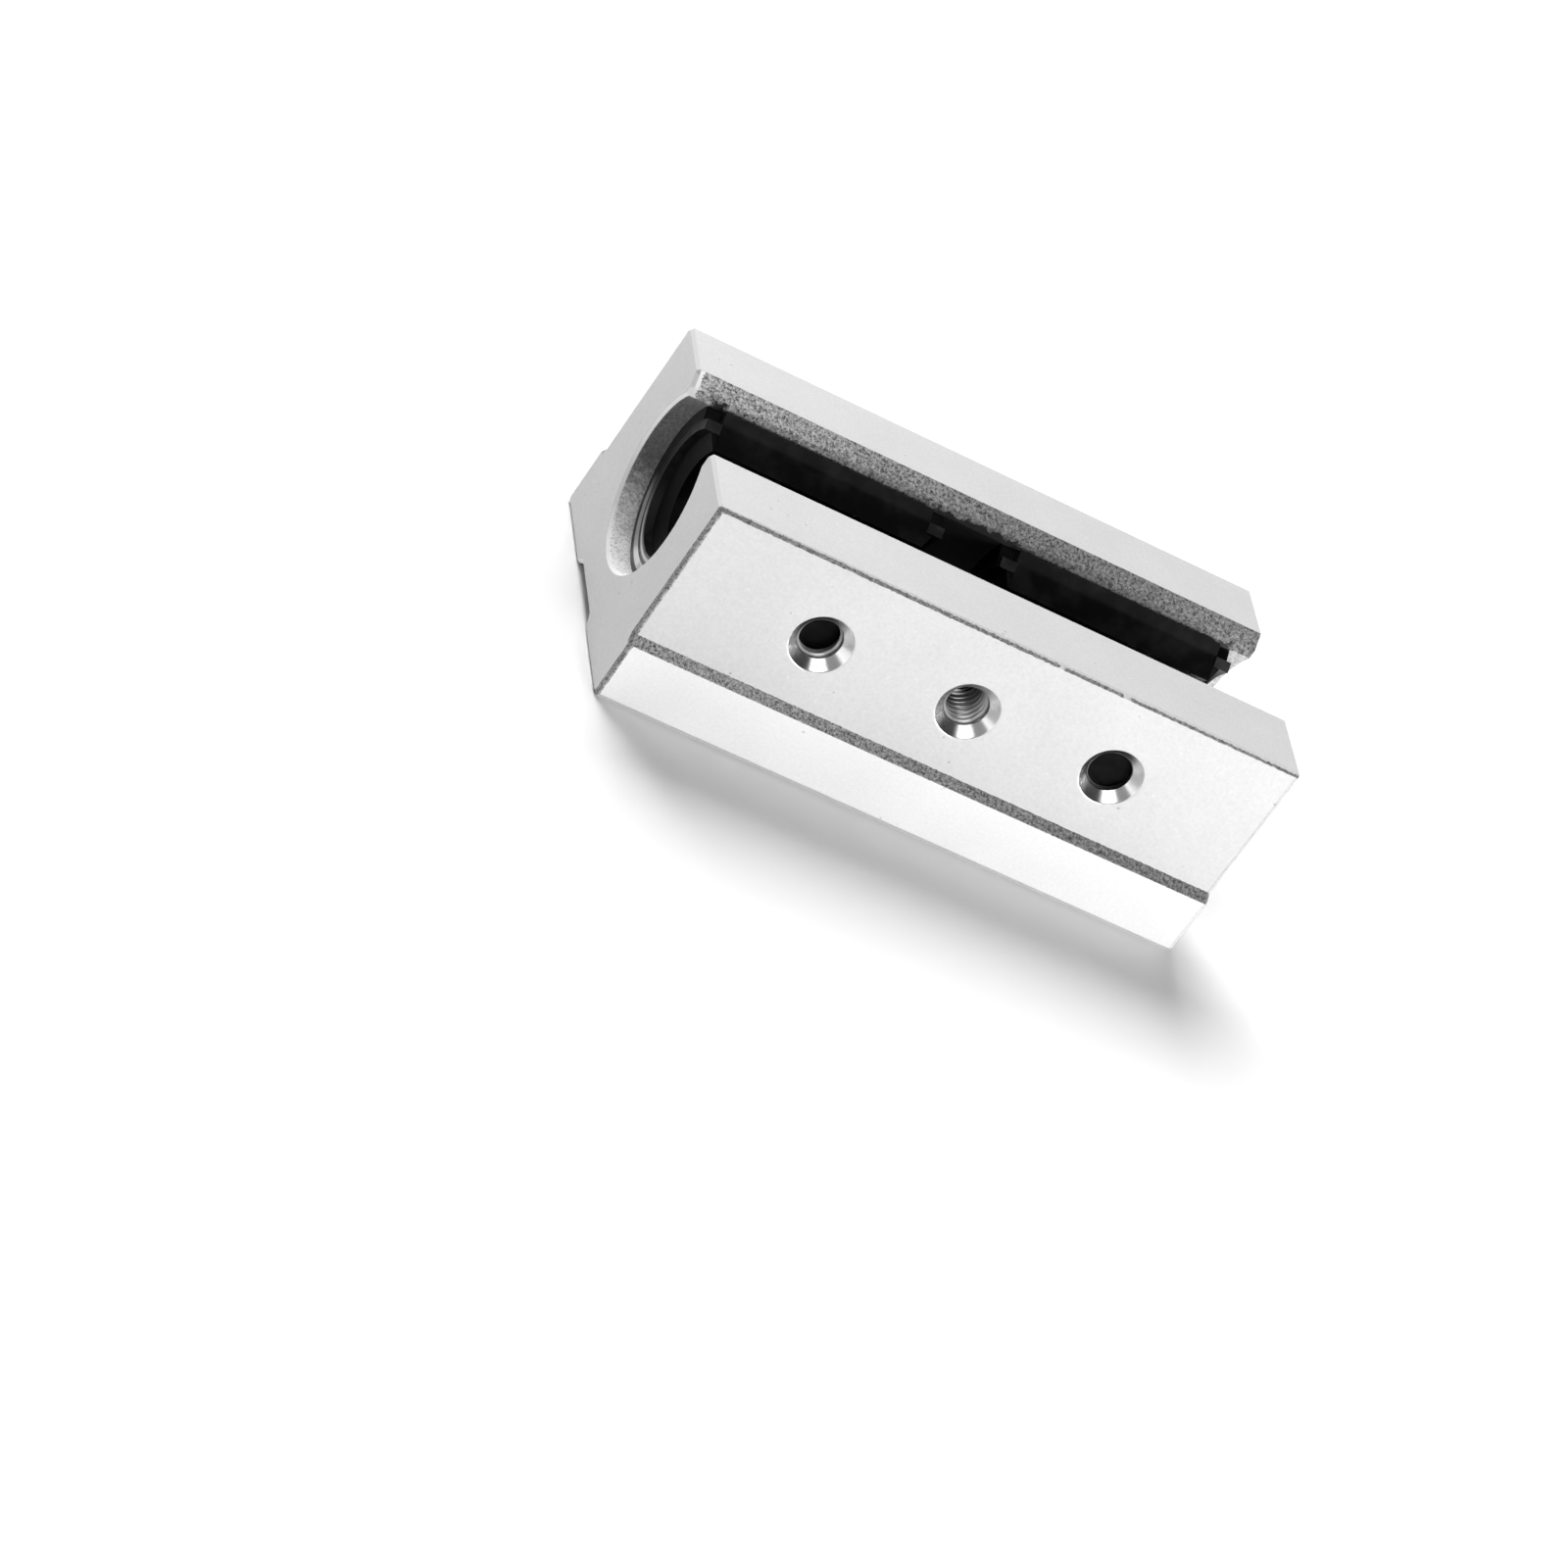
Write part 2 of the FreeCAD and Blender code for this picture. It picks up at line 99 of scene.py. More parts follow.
def swung(tree, noise, amount):
    # noise moved from round a half to round zero, then scaled
    return calc(tree, "MULTIPLY", calc(tree, "SUBTRACT", noise, 0.5), amount)


def hypotenuse(tree, first, second):
    return calc(tree, "SQRT", calc(
        tree, "ADD", calc(tree, "MULTIPLY", first, first), calc(tree, "MULTIPLY", second, second)))


def spread(tree, value, low, high, first=0.0, last=1.0):
    # runs smoothly from first at low to last at high, and stays level outside
    step = tree.nodes.new("ShaderNodeMapRange")
    step.interpolation_type = "SMOOTHSTEP"
    for place, number in enumerate((value, low, high, first, last)):
        feed(tree, step.inputs[place], number)
    return step.outputs[0]


def past(tree, value, line, before, after):
    # a mask of what lies past a line: it starts this far before it and is whole this far after it
    return spread(tree, value, line - before, line + after)


def upTo(tree, value, line, before, after):
    # the opposite mask, whole before the line and gone after it
    return spread(tree, value, line - before, line + after, 1.0, 0.0)


def speckle(tree, position, scale, detail, rough):
    noise = tree.nodes.new("ShaderNodeTexNoise")
    feed(tree, noise.inputs["Vector"], position)
    feed(tree, noise.inputs["Scale"], scale)
    feed(tree, noise.inputs["Detail"], detail)
    feed(tree, noise.inputs["Roughness"], rough)
    return noise.outputs[0]


def cells(tree, position, scale):
    made = tree.nodes.new("ShaderNodeTexVoronoi")
    feed(tree, made.inputs["Vector"], position)
    feed(tree, made.inputs["Scale"], scale)
    return made.outputs["Distance"]


def blendNumber(tree, share, first, second):
    step = tree.nodes.new("ShaderNodeMix")
    step.data_type = "FLOAT"
    feed(tree, step.inputs[0], share)
    feed(tree, step.inputs[2], first)
    feed(tree, step.inputs[3], second)
    return step.outputs[0]


def grey(tree, value, warmth=(1.0, 1.0, 1.0)):
    # a brightness made into a colour
    step = tree.nodes.new("ShaderNodeCombineColor")
    for place, share in enumerate(warmth):
        feed(tree, step.inputs[place], calc(tree, "MULTIPLY", value, share))
    return step.outputs[0]


def useGroup(tree, group, values):
    step = tree.nodes.new("ShaderNodeGroup")
    step.node_tree = group
    feedAll(tree, step, values)
    return step.outputs


def objectPosition(tree):
    return tree.nodes.new("ShaderNodeTexCoord").outputs["Object"]


def millimetres(tree, position):
    # a position in mm, whole and as its three parts
    scaled = tree.nodes.new("ShaderNodeVectorMath")
    scaled.operation = "SCALE"
    feed(tree, scaled.inputs[0], position)
    scaled.inputs["Scale"].default_value = 1000.0
    split = tree.nodes.new("ShaderNodeSeparateXYZ")
    feed(tree, split.inputs[0], scaled.outputs[0])
    return scaled.outputs[0], tuple(split.outputs)


def bump(tree, height, strength, distance):
    step = tree.nodes.new("ShaderNodeBump")
    feed(tree, step.inputs["Height"], height)
    feed(tree, step.inputs["Strength"], strength)
    feed(tree, step.inputs["Distance"], distance * mm)
    return step.outputs[0]


def newMaterial(name):
    material = bpy.data.materials.new(name)
    material.use_nodes = True
    tree = material.node_tree
    return material, tree, tree.nodes["Principled BSDF"]


blockForm = {  # the block's own sizes, in mm, which its finish follows
    "halfLength": 39.0,
    "halfWidth": 20.0,
    "sideFace": 19.0,
    "stepLow": 7.75,
    "stepHigh": 8.75,
    "top": 27.6,
    "edgeBreak": 0.5,
    "endBreak": 0.4,
    "axisHeight": 17.2,
    "seatRadius": 11.0,
    "recess": 3.0,
    "slotNear": 7.5,
    "slotFar": 8.1,
    "flareWidth": 1.5,
    "holePitch": 19.5,
    "holeRadius": 2.7,
    "holeEnd": 10.9,
    "sinkRadius": 3.9,
}


def makeBoreFrame():
    # distance from the shaft's axis, and the place up, along and across, all in mm
    tree, start, end = newGroup("boreFrame", [("Position", "Vector", None)],
                                ("Distance", "Height", "Along", "Across"))
    whole, (along, across, height) = millimetres(tree, start.outputs["Position"])
    rise = calc(tree, "SUBTRACT", height, blockForm["axisHeight"])
    feedAll(tree, end, {"Distance": hypotenuse(tree, across, rise), "Height": height,
                        "Along": along, "Across": across})
    return tree


zoneForm = {  # how the edges of the finishes wander; lengths in mm, sizes as noise scales
    "waveScale": 2.2,
    "wave": 0.28,
    "topWave": 1.3,
    "topLine": 0.17,
    "thinning": 0.0018,
    "gapScale": 0.45,
    "gaps": 0.27,
    "rearBreak": 0.3,
    "lipFoot": 23.6,
    "patchStation": 34.8,
    "patchReach": 0.5,
    "middleReach": 5.0,
    "patchTop": 24.1,
    "patchRise": 2.6,
    "patchScale": 0.9,
}
zoneNames = ("Strip", "Break", "End Break", "Lip", "Seat", "Sink", "Thread", "Hole Distance",
             "Highlit Edge", "Bore", "Foot", "Dark Patch")


def makeBlockZones():
    # masks of the block's differently finished areas, from the position alone
    tree, start, end = newGroup("blockZones", [("Position", "Vector", None)], zoneNames)
    form, edge = blockForm, zoneForm
    whole, (x, y, z) = millimetres(tree, start.outputs["Position"])
    farX = calc(tree, "ABSOLUTE", x)
    farY = calc(tree, "ABSOLUTE", y)
    wander = swung(tree, speckle(tree, whole, edge["waveScale"], 3.0, 0.6), edge["wave"])

    # the sloping strip of the side step
    zMoved = calc(tree, "ADD", z, wander)
    strip = product(tree, past(tree, zMoved, form["stepLow"], 0.06, 0.02),
                    upTo(tree, zMoved, form["stepHigh"], 0.02, 0.06),
                    past(tree, farY, form["sideFace"], 0.1, -0.02))

    # the foot's side faces below the step
    foot = product(tree, upTo(tree, z, form["stepLow"], 0.1, 0.0),
                   past(tree, farY, form["halfWidth"], 0.2, -0.1))

    # the long edge break at the top: a ragged line that thins along the block, with a few gaps
    upTop = calc(tree, "ADD", z, calc(tree, "MULTIPLY", wander, edge["topWave"]))
    thinning = calc(tree, "MULTIPLY", calc(tree, "ADD", x, form["halfLength"]), edge["thinning"])
    gapNoise = speckle(tree, whole, edge["gapScale"], 2.0, 0.5)
    edges = product(
        tree, past(tree, upTop, form["top"] - form["edgeBreak"], 0.07, 0.03),
        upTo(tree, calc(tree, "ADD", upTop, thinning), form["top"] - edge["topLine"], 0.0, 0.1),
        past(tree, farY, form["sideFace"] - form["edgeBreak"], 0.06, 0.02),
        past(tree, gapNoise, edge["gaps"], 0.0, 0.04))

    # the small chamfer up both side faces' ends, dull at the front and painted paler at the rear
    # as painted light
    chamfer = form["halfLength"] - form["endBreak"]
    offEnd = upTo(tree, farX, form["halfLength"], 0.03, -0.005)
    onSides = past(tree, farY, form["sideFace"] - form["endBreak"], 0.08, 0.02)
    endBreak = product(tree, past(tree, calc(tree, "ADD", farX, wander), chamfer, 0.26, -0.18),
                       offEnd, onSides, spread(tree, x, -1.0, 1.0, 1.0, edge["rearBreak"]))

    # every other end edge is a chamfer with a painted highlight
    endChamfer = past(tree, farX, chamfer, 0.06, 0.02)
    highlitEdge = product(tree, endChamfer, offEnd, calc(tree, "SUBTRACT", 1.0, onSides))

    # the slot's walls and the flare of the far one
    high = past(tree, z, edge["lipFoot"], 0.0, 0.2)
    farLip = product(tree, past(tree, y, form["slotFar"], 0.1, -0.05),
                     upTo(tree, calc(tree, "ADD", y, wander),
                          form["slotFar"] + form["flareWidth"], 0.04, 0.04), high)
    nearLip = product(tree, upTo(tree, y, -form["slotNear"], -0.02, 0.06),
                      past(tree, y, -form["slotNear"], 0.3, -0.1), high)
    lip = product(tree, calc(tree, "ADD", farLip, nearLip, clamp=True),
                  upTo(tree, z, form["top"], 0.02, -0.005),
                  calc(tree, "SUBTRACT", 1.0, endChamfer))

    # black patches painted low on the slot's wall, beside the bearings' ends and at the middle
    fromEnd = calc(tree, "ABSOLUTE", calc(tree, "SUBTRACT", farX, edge["patchStation"]))
    byEnds = calc(tree, "MAXIMUM", upTo(tree, fromEnd, edge["patchReach"], 0.0, 0.8),
                  upTo(tree, farX, edge["middleReach"], 0.0, 1.5))
    ragged = speckle(tree, whole, edge["patchScale"], 3.0, 0.6)
    patchTop = raised(tree, edge["patchTop"], ragged, edge["patchRise"])
    darkPatch = product(tree, byEnds,
                    upTo(tree, calc(tree, "SUBTRACT", z, patchTop), 0.0, 0.1, 0.1), lip)

    # the bearing seat, by its distance from the shaft's axis
    rise = calc(tree, "SUBTRACT", z, form["axisHeight"])
    inBore = upTo(tree, hypotenuse(tree, y, rise), form["seatRadius"], -0.02, 0.1)
    bore = product(tree, inBore, upTo(tree, farX, form["halfLength"] - form["recess"], 0.2, 0.0))
    seat = calc(tree, "SUBTRACT", inBore, bore)

    # the three side holes: distance from the nearest hole's axis, pushed far off beyond them
    folded = calc(tree, "PINGPONG", farX, form["holePitch"] / 2)
    pastHoles = calc(tree, "GREATER_THAN", farX, form["holePitch"] * 1.5)
    fromHole = hypotenuse(tree, raised(tree, folded, pastHoles, 50.0), rise)
    onSide = upTo(tree, y, -form["holeEnd"], 0.0, 0.1)
    recessed = past(tree, y, -form["sideFace"], -0.004, 0.02)
    sink = product(tree, upTo(tree, fromHole, form["sinkRadius"], -0.02, 0.06), onSide, recessed)
    thread = product(tree, upTo(tree, fromHole, form["holeRadius"], -0.01, 0.05), onSide)

    feedAll(tree, end, dict(zip(zoneNames, (
        strip, edges, endBreak, lip, seat, sink, thread, fromHole, highlitEdge, bore, foot, darkPatch))))
    return tree


blastForm = {
    "roughness": 0.7,
    "fineness": 2.3,
    "coarseShare": 0.65,
    "fineShare": 0.35,
    "contrast": 3.7,
}


def makeBlastGrain():
    # sharp light and dark grains, as left by coarse blasting; the grain's size is in mm
    form = blastForm
    tree, start, end = newGroup("blastGrain", [
        ("Position", "Vector", None), ("Grain Size", "Float", 0.2)], ("Grain", "Height"))
    place = start.outputs["Position"]
    size = calc(tree, "DIVIDE", 1000.0, start.outputs["Grain Size"])
    coarse = speckle(tree, place, size, 2.0, form["roughness"])
    fine = speckle(tree, place, calc(tree, "MULTIPLY", size, form["fineness"]), 1.0, 0.5)
    both = calc(tree, "ADD", calc(tree, "MULTIPLY", coarse, form["coarseShare"]),
                calc(tree, "MULTIPLY", fine, form["fineShare"]))
    grain = calc(tree, "ADD", swung(tree, both, form["contrast"]), 0.5, clamp=True)
    feedAll(tree, end, {"Grain": grain, "Height": both})
    return tree


speckleForm = {  # noise scales per metre, and how much each adds to the shade
    "cloudScale": 90.0,
    "cloud": 0.08,
    "fineScale": 2600.0,
    "fine": 0.14,
    "dotScale": 900.0,
    "dots": 0.05,
    "pitScale": 700.0,
    "pitAreas": 170.0,
}


def makeMetalSpeckle():
    # faint cloudiness, fine pale specks and a few tiny pits of a machined face
    form = speckleForm
    tree, start, end = newGroup("metalSpeckle", [("Position", "Vector", None)],
                                ("Shade", "Pits", "Height"))
    place = start.outputs["Position"]
    cloud = speckle(tree, place, form["cloudScale"], 3.0, 0.55)
    fine = speckle(tree, place, form["fineScale"], 2.0, 0.6)
    dots = spread(tree, speckle(tree, place, form["dotScale"], 2.0, 0.5), 0.68, 0.76)
    rare = spread(tree, speckle(tree, place, form["pitAreas"], 1.0, 0.5), 0.60, 0.68)
    pit = product(tree, spread(tree, cells(tree, place, form["pitScale"]), 0.08, 0.15, 1.0, 0.0),
                  rare)
    shade = calc(tree, "ADD", swung(tree, cloud, form["cloud"]), swung(tree, fine, form["fine"]))
    feedAll(tree, end, {"Shade": raised(tree, shade, dots, form["dots"]), "Pits": pit,
                        "Height": calc(tree, "SUBTRACT", fine, pit)})
    return tree


def makeTurnedRings():
    # fine rings left by a turning tool, from the distance to the hole's axis in mm: a sine wave
    # with one crest for each pitch, broken up by noise
    tree, start, end = newGroup("turnedRings", [
        ("Distance", "Float", 0.0), ("Pitch", "Float", 0.12), ("Position", "Vector", None)],
        ("Rings",))
    steps = calc(tree, "DIVIDE", start.outputs["Distance"], start.outputs["Pitch"])
    wave = calc(tree, "SINE", calc(tree, "MULTIPLY", steps, 2 * math.pi))
    chatter = speckle(tree, start.outputs["Position"], 900.0, 1.0, 0.5)
    feed(tree, end.inputs["Rings"], calc(tree, "MULTIPLY", wave, chatter))
    return tree


def makeScuffs():
    # soft handling marks for moulded and ground pieces; their size is in mm
    tree, start, end = newGroup("scuffs", [
        ("Position", "Vector", None), ("Size", "Float", 4.0)], ("Mask", "Height"))
    place = start.outputs["Position"]
    size = calc(tree, "DIVIDE", 1000.0, start.outputs["Size"])
    broad = speckle(tree, place, size, 4.0, 0.6)
    fine = speckle(tree, place, calc(tree, "MULTIPLY", size, 9.0), 2.0, 0.5)
    feedAll(tree, end, {"Mask": spread(tree, broad, 0.42, 0.68), "Height": fine})
    return tree


boreFrame = makeBoreFrame()
blockZones = makeBlockZones()
blastGrain = makeBlastGrain()
metalSpeckle = makeMetalSpeckle()
turnedRings = makeTurnedRings()
scuffs = makeScuffs()
print("shared effects ready")


aluminiumLook = {
    "face": 0.62,
    "foot": 0.82,
    "pits": 0.25,
    "pale": 0.72,
    "flareEnd": 0.95,
    "flareEndDepth": 0.5,
    "flareEndLength": 0.2,
    "flareEndRagged": -1.4,
    "strip": 0.165,
    "stripRange": 0.30,
    "stripNearEnd": 1.5,
    "stripFarEnd": 0.9,
    "stripRamp": 30.0,
    "lipNearEnd": 2.3,
    "lipFarEnd": 1.1,
    "lipRamp": 10.0,
    "darkPatch": 0.012,
    "break": 0.08,
    "breakRange": 0.42,
    "topLine": 0.6,
    "seatDark": 0.22,
    "seatPale": 0.95,
    "seatMottle": 6.0,
    "mottleScale": 900.0,
    "seatShadeLow": 7.2,
    "seatShadeHigh": 14.6,
    "seatFarEnd": 0.45,
    "seatFarStart": 30.0,
    "darkGrain": 0.16,
    "paleGrain": 0.75,
    "bore": 0.02,
    "holeMouth": 0.82,
    "holeDepths": 0.06,
    "grainSize": 0.36,
    "roughness": 0.42,
    "roughBlasted": 0.6,
    "roughHole": 0.2,
    "metal": 0.20,
    "metalBlasted": 0.1,
    "metalHole": 1.0,
    "speckleRelief": 0.12,
    "ringRelief": 0.06,
    "relief": 0.4,
    "reliefDepth": 0.14,
}
# painted shade inside the side holes, from their mouths inwards
holeShadow = (-16.6, -13.0)  # where a hole's wall starts to darken inwards, and where it is dark


def makeAluminium():
    material, tree, shader = newMaterial("satinAluminium")
    look, front = aluminiumLook, -blockForm["halfLength"]
    place = objectPosition(tree)
    zones = useGroup(tree, blockZones, {"Position": place})
    bore = useGroup(tree, boreFrame, {"Position": place})
    grain = useGroup(tree, blastGrain, {"Position": place, "Grain Size": look["grainSize"]})
    marks = useGroup(tree, metalSpeckle, {"Position": place})
    rings = useGroup(tree, turnedRings, {"Position": place, "Distance": zones["Hole Distance"]})

    # the machined faces, and the chamfers at their ends, which carry a painted highlight
    # painted light: the foot is painted paler than the faces above it
    onFoot = calc(tree, "MULTIPLY", zones["Foot"], look["foot"] - look["face"])
    face = calc(tree, "ADD", look["face"], calc(tree, "ADD", onFoot, marks["Shade"]))
    face = calc(tree, "SUBTRACT", face, calc(tree, "MULTIPLY", marks["Pits"], look["pits"]))
    # the painted highlight on the end chamfers is brightest below the top's last half millimetre
    flareTop = blockForm["top"] - look["flareEndDepth"]
    onFlare = spread(tree, bore["Height"], flareTop - 0.1, flareTop,
                     look["flareEnd"], look["pale"])
    shade = blendNumber(tree, zones["Highlit Edge"], face, onFlare)

    # the blasted strip and slot flare, painted paler towards the front as painted light, with a
    # painted highlight along the flare's front end
    blasted = raised(tree, look["strip"] - look["stripRange"] / 2, grain["Grain"],
                     look["stripRange"])
    alongLip = spread(tree, bore["Along"], front, look["lipRamp"],
                      look["lipNearEnd"], look["lipFarEnd"])
    alongStrip = spread(tree, bore["Along"], front, look["stripRamp"],
                        look["stripNearEnd"], look["stripFarEnd"])
    blasted = calc(tree, "MULTIPLY", blasted,
                   blendNumber(tree, zones["Lip"], alongStrip, alongLip))
    # the slot's wall painted black beside the bearings' ends and at the middle
    blasted = blendNumber(tree, zones["Dark Patch"], blasted, look["darkPatch"])
    # a ragged painted highlight along the flare's front end
    frontEdge = upTo(tree, raised(tree, bore["Along"], grain["Height"], look["flareEndRagged"]),
                     front + look["flareEndLength"], 0.0, 0.15)
    blasted = blendNumber(tree, product(tree, frontEdge, zones["Lip"]), blasted,
                          look["flareEnd"])
    rough = calc(tree, "MAXIMUM", zones["Strip"], zones["Lip"])
    shade = blendNumber(tree, rough, shade, blasted)

    # the dull edge breaks
    edges = calc(tree, "MAXIMUM", zones["Break"], zones["End Break"])
    dull = raised(tree, look["break"], grain["Grain"], look["breakRange"])
    dull = calc(tree, "MULTIPLY", dull, blendNumber(tree, zones["Break"], 1.0, look["topLine"]))
    shade = blendNumber(tree, edges, shade, dull)

    # the bored seat is mottled, with painted shade on its far, upper side and a painted highlight
    # on its floor, which is speckled
    mottle = swung(tree, speckle(tree, place, look["mottleScale"], 3.0, 0.6),
                   look["seatMottle"])
    lit = spread(tree, calc(tree, "ADD", bore["Height"], mottle),
                   look["seatShadeLow"], look["seatShadeHigh"], 1.0, 0.0)
    # painted light on the seat's far end, which lifts it part way towards its painted highlight
    lit = calc(tree, "MAXIMUM", lit, spread(
        tree, bore["Along"], look["seatFarStart"], look["seatFarStart"] + 1.0,
        0.0, look["seatFarEnd"]))
    seatShade = blendNumber(tree, lit, look["seatDark"], look["seatPale"])
    seatGrain = swung(tree, grain["Grain"],
                      blendNumber(tree, lit, look["darkGrain"], look["paleGrain"]))
    seatShade = calc(tree, "MAXIMUM", calc(tree, "ADD", seatShade, seatGrain), look["bore"])
    shade = blendNumber(tree, zones["Seat"], shade, seatShade)
    # painted shade: the bore between the bearings is painted nearly black
    shade = blendNumber(tree, zones["Bore"], shade, look["bore"])

    # the side holes: bright cut metal, with painted shade that darkens it inwards
    bright = calc(tree, "MAXIMUM", zones["Sink"], zones["Thread"])
    shade = blendNumber(tree, bright, shade, spread(
        tree, bore["Across"], *holeShadow, look["holeMouth"], look["holeDepths"]))
    feed(tree, shader.inputs["Base Color"], grey(tree, shade))

    allRough = calc(tree, "MAXIMUM", rough, edges)
    roughness = blendNumber(tree, allRough, look["roughness"], look["roughBlasted"])
    roughness = blendNumber(tree, bright, roughness, look["roughHole"])
    roughness = blendNumber(tree, zones["Seat"], roughness, look["roughness"])
    roughness = blendNumber(tree, zones["Bore"], roughness, look["roughBlasted"])
    feed(tree, shader.inputs["Roughness"], roughness)
    metal = blendNumber(tree, bright, look["metal"], look["metalHole"])
    metal = blendNumber(tree, calc(tree, "MAXIMUM", zones["Bore"], edges), metal,
                        look["metalBlasted"])
    feed(tree, shader.inputs["Metallic"], metal)

    height = blendNumber(
        tree, allRough, calc(tree, "MULTIPLY", marks["Height"], look["speckleRelief"]),
        grain["Height"])
    height = blendNumber(tree, bright, height,
                         calc(tree, "MULTIPLY", rings["Rings"], look["ringRelief"]))
    feed(tree, shader.inputs["Normal"], bump(tree, height, look["relief"], look["reliefDepth"]))
    return material


# of each scuffed piece: the marks' size, its shade and how marks change it, its roughness and
# range, how much it mirrors, its metal, and the strength and depth of its relief
screwLook = {
    "marks": 1.5,
    "shade": 0.001,
    "marked": 0.002,
    "rough": 0.3,
    "roughRange": 0.2,
    "gloss": 0.06,
    "metal": 0.0,
    "relief": 0.2,
    "reliefDepth": 0.03,
}
ballLook = {
    "marks": 1.2,
    "shade": 0.78,
    "marked": -0.12,
    "rough": 0.08,
    "roughRange": 0.12,
    "gloss": 0.5,
    "metal": 1.0,
    "relief": 0.1,
    "reliefDepth": 0.02,
}
sleeveLook = {
    "marks": 3.0,
    "shade": 0.50,
    "marked": -0.12,
    "dark": 0.02,
    "cornerRadius": 10.25,
    "brightBelow": 12.5,
    "rough": 0.28,
    "roughRange": 0.12,
    "gloss": 0.5,
    "metal": 1.0,
    "relief": 0.1,
    "reliefDepth": 0.02,
}
cageLook = {
    "marks": 3.5,
    "track": 0.002,
    "rail": 0.012,
    "marked": 0.002,
    "railRadius": 9.0,
    "rough": 0.3,
    "roughRange": 0.18,
    "gloss": 0.15,
    "metal": 0.0,
    "relief": 0.25,
    "reliefDepth": 0.03,
}
ringLook = {
    "marks": 2.5,
    "shade": 0.003,
    "marked": 0.003,
    "sheenRadius": 8.55,
    "sheenNear": 0.04,
    "sheenFar": 0.34,
    "sheenLow": 7.5,
    "sheenHigh": 14.0,
    "sheen": 0.6,
    "rough": 0.34,
    "roughRange": 0.18,
    "gloss": 0.45,
    "metal": 0.0,
    "relief": 0.25,
    "reliefDepth": 0.03,
}
sealLook = {
    "marks": 1.2,
    "shade": 0.003,
    "marked": 0.006,
    "rough": 0.55,
    "roughRange": 0.18,
    "gloss": 0.12,
    "metal": 0.0,
    "relief": 0.25,
    "reliefDepth": 0.05,
}
steelWarmth = (1.0, 0.995, 0.985)


def startScuffed(name, look):
    # a new material, the place on the piece and its handling marks
    material, tree, shader = newMaterial(name)
    place = objectPosition(tree)
    marks = useGroup(tree, scuffs, {"Position": place, "Size": look["marks"]})
    return material, tree, shader, place, marks


def finishScuffed(tree, shader, marks, shade, look):
    colour = grey(tree, shade, steelWarmth) if look["metal"] else grey(tree, shade)
    feed(tree, shader.inputs["Base Color"], colour)
    feed(tree, shader.inputs["Roughness"],
         raised(tree, look["rough"], marks["Mask"], look["roughRange"]))
    shader.inputs["Metallic"].default_value = look["metal"]
    shader.inputs["Specular IOR Level"].default_value = look["gloss"]
    feed(tree, shader.inputs["Normal"],
         bump(tree, marks["Height"], look["relief"], look["reliefDepth"]))


def makePlain(name, look):
    # one shade all over, apart from its marks
    material, tree, shader, place, marks = startScuffed(name, look)
    shade = raised(tree, look["shade"], marks["Mask"], look["marked"])
    finishScuffed(tree, shader, marks, shade, look)
    return material


def makeSleeveSteel():
    # ground steel, with a painted shadow at its outer corner and a painted highlight on its end,
    # which shows bright only on the bore's floor
    look = sleeveLook
    material, tree, shader, place, marks = startScuffed("groundSleeveSteel", look)
    bore = useGroup(tree, boreFrame, {"Position": place})
    lit = raised(tree, look["shade"], marks["Mask"], look["marked"])
    litEnd = product(tree, upTo(tree, bore["Distance"], look["cornerRadius"], 0.05, 0.05),
                    upTo(tree, bore["Height"], look["brightBelow"], 1.5, 1.5))
    finishScuffed(tree, shader, marks, blendNumber(tree, litEnd, look["dark"], lit), look)
    return material


def makeCagePlastic():
    # black moulding whose outer rails are a shade paler than its tracks
    look = cageLook
    material, tree, shader, place, marks = startScuffed("cagePlastic", look)
    bore = useGroup(tree, boreFrame, {"Position": place})
    rail = past(tree, bore["Distance"], look["railRadius"], 0.0, 0.6)
    shade = raised(tree, blendNumber(tree, rail, look["track"], look["rail"]),
                   marks["Mask"], look["marked"])
    finishScuffed(tree, shader, marks, shade, look)
    return material


def makeRingPlastic():
    # black moulding with a painted highlight round its rim, on the bore's floor
    look = ringLook
    material, tree, shader, place, marks = startScuffed("ringPlastic", look)
    bore = useGroup(tree, boreFrame, {"Position": place})
    fromRim = calc(tree, "ABSOLUTE", calc(
        tree, "SUBTRACT", bore["Distance"], look["sheenRadius"]))
    paintedSheen = product(
        tree, spread(tree, fromRim, look["sheenNear"], look["sheenFar"], 1.0, 0.0),
        spread(tree, bore["Height"], look["sheenLow"], look["sheenHigh"], 1.0, 0.0), look["sheen"])
    shade = raised(tree, calc(tree, "ADD", look["shade"], paintedSheen), marks["Mask"],
                   look["marked"])
    finishScuffed(tree, shader, marks, shade, look)
    return material


threadForm = {
    "pitch": 0.84,
    "rootRadius": 2.69,
    "crestRadius": 2.36,
    "outerFace": -17.8,
    "innerFace": -11.35,
    "screwGap": 0.02,
    "flat": 1.25,
    "slope": 2.5,
    "cover": 0.98,
    "around": 48,
    "acrossRidge": 8,
}
threadLook = {
    "crest": 0.80,
    "root": 0.08,
    "depths": 0.25,
    "rough": 0.40,
    "roughRange": 0.3,
    "metal": 0.8,
    "relief": 0.1,
    "reliefDepth": 0.02,
}


